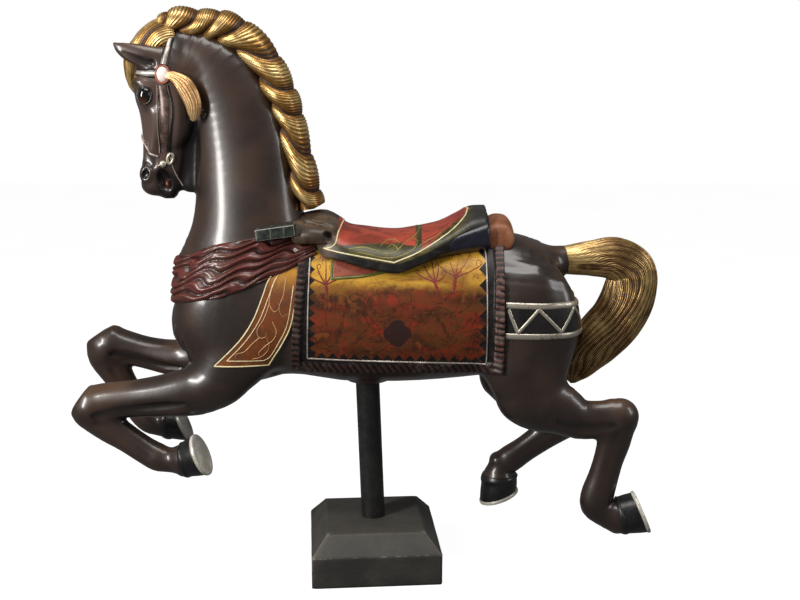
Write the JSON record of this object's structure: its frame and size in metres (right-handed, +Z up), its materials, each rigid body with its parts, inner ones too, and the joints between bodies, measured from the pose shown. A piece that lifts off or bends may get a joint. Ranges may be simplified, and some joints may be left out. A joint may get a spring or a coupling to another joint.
{
  "type": "carousel horse on pole and block stand",
  "caption": "Carved and painted wooden carousel horse in full leap, with gilded mane and tail, saddle and painted blanket, held by a pole on a square block.",
  "frame": {"origin": "centre of the block's underside, on the surface the stand rests on", "axes": "+Z up, -X the way the horse leaps, +Y the horse's right side"},
  "size_m": [1.3711, 0.3375, 1.3283],
  "materials": {
    "horse": "dark brown satin lacquer, with gilded hair, silvered shoes and a painted saddle and blanket",
    "pole": "black paint, satin, scuffed",
    "base_block": "charcoal paint, matt, rubbed and chipped on its edges"
  },
  "bodies": {
    "root": {"horse": "horse", "pole": "pole", "base_block": "base_block"}
  },
  "joints": []
}
